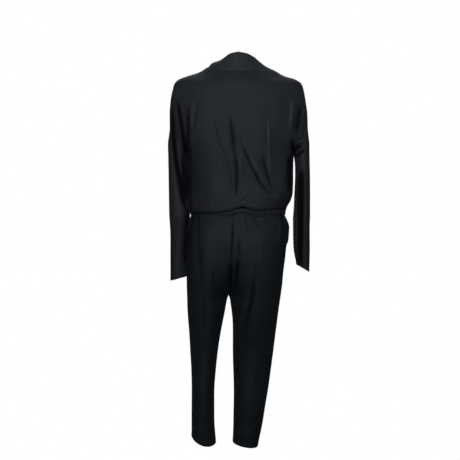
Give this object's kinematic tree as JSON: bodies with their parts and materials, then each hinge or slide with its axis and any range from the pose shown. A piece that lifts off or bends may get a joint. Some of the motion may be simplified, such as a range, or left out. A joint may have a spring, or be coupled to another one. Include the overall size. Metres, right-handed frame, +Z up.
{
  "type": "jumpsuit",
  "caption": "Black long-sleeved jersey jumpsuit, worn and hollow: crossover front, standing shawl band, bloused elastic waist, tapered legs.",
  "frame": {"origin": "centre of the neck opening, a centimetre above the neckline seam at the centre back, where the wearer's shoulders hold the garment up", "axes": "+Z up, -Y towards the garment's front, +X towards the wearer's left"},
  "size_m": [0.5162, 0.2484, 1.4223],
  "materials": {
    "bodice_jersey": "matte",
    "band_jersey": "matte",
    "sleeve_jersey": "matte",
    "waist_jersey": "matte",
    "trouser_jersey": "matte"
  },
  "bodies": {
    "root": {"bodice_back": "bodice_jersey", "bodice_front_left": "bodice_jersey", "bodice_front_right": "bodice_jersey", "collar_left": "band_jersey", "collar_right": "band_jersey", "sleeve_left": "sleeve_jersey", "sleeve_right": "sleeve_jersey", "waistband": "waist_jersey", "trouser_back_left": "trouser_jersey", "trouser_back_right": "trouser_jersey", "trouser_front_left": "trouser_jersey", "trouser_front_right": "trouser_jersey"}
  },
  "joints": []
}
